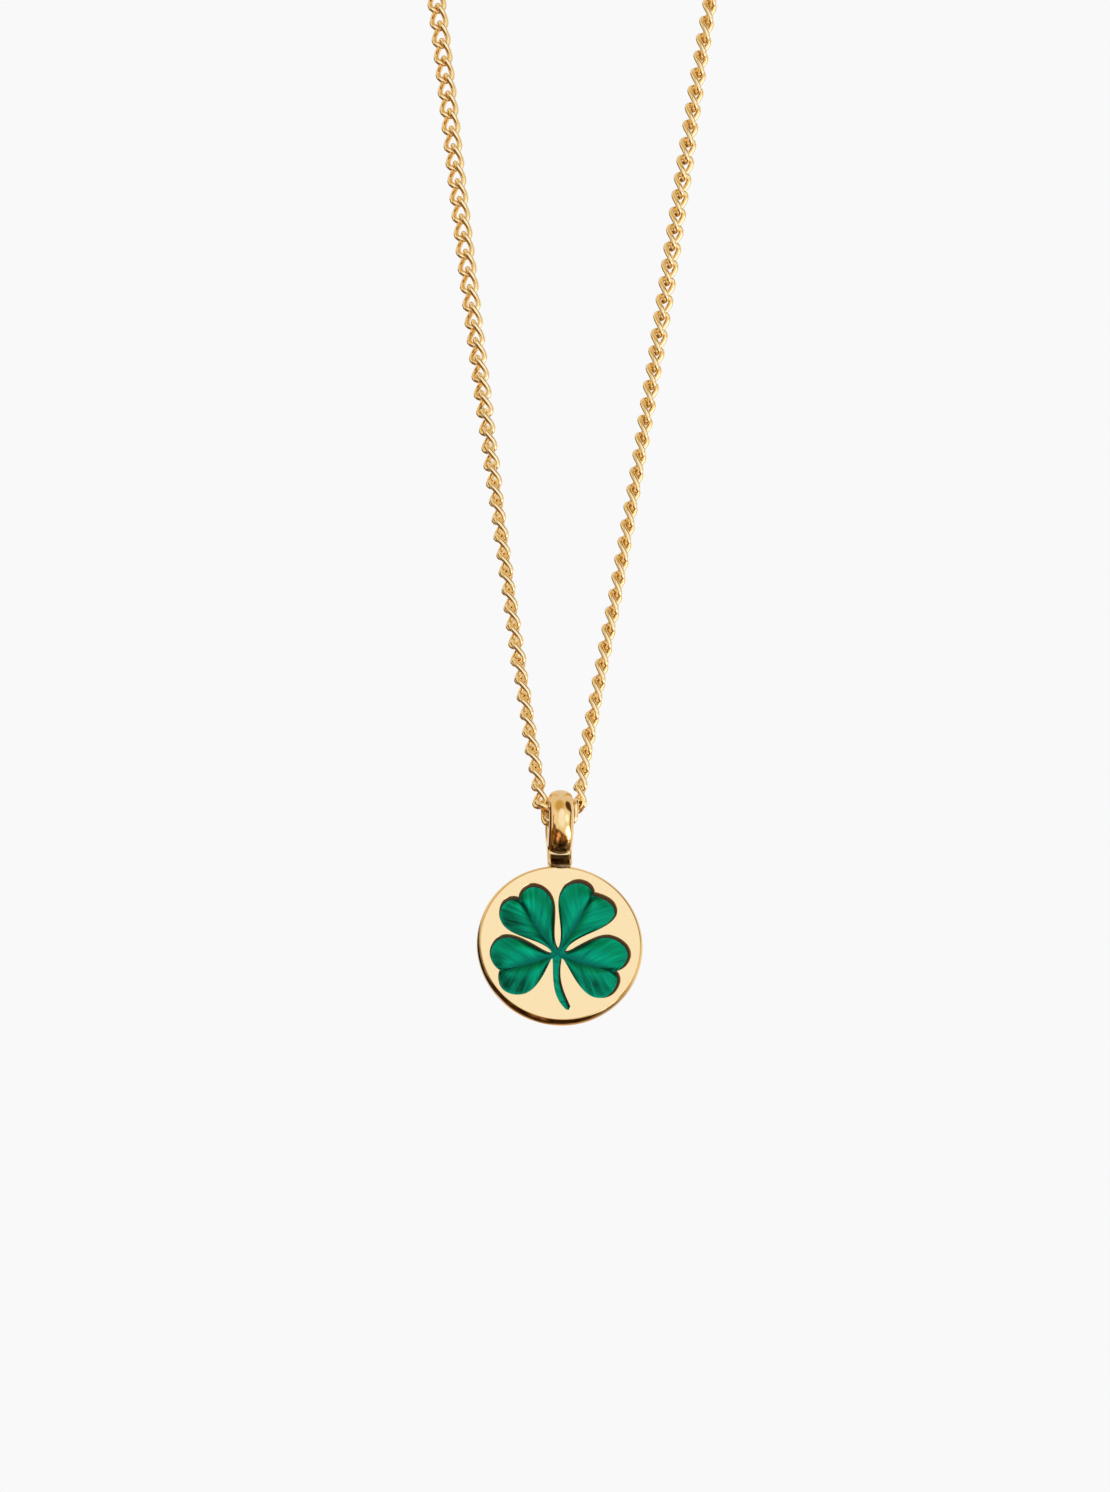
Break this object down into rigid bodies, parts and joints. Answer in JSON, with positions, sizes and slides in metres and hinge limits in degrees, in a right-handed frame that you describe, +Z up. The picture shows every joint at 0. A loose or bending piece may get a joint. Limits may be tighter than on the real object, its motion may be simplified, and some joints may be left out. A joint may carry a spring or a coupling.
{
  "type": "clover necklace",
  "caption": "Fine curb-chain necklace with a round gold-coloured disc pendant, inlaid with a green enamel clover and hung from a ring bail.",
  "frame": {"origin": "middle of the clasp, where the necklace rests on the nape of the neck", "axes": "+Z up, -Y to the wearer's front where the pendant hangs, +X to the viewer's right when facing the pendant"},
  "size_m": [0.0682, 0.0762, 0.2033],
  "materials": {
    "polished_gold": "polished, soft reflections",
    "chain_gold": "polished links with flat cut facets",
    "green_enamel": "translucent glossy enamel over metal"
  },
  "bodies": {
    "necklace": {"chain": "chain_gold", "clasp": "polished_gold"},
    "pendant": {"medallion": "polished_gold", "clover_enamel": "green_enamel"}
  },
  "joints": [
    {"name": "pendant_swing", "type": "hinge", "parent": "necklace", "child": "pendant", "pos_m": [0, -0.072, -0.1835], "axis": [1, 0, 0], "range_deg": [-150, 150]}
  ]
}
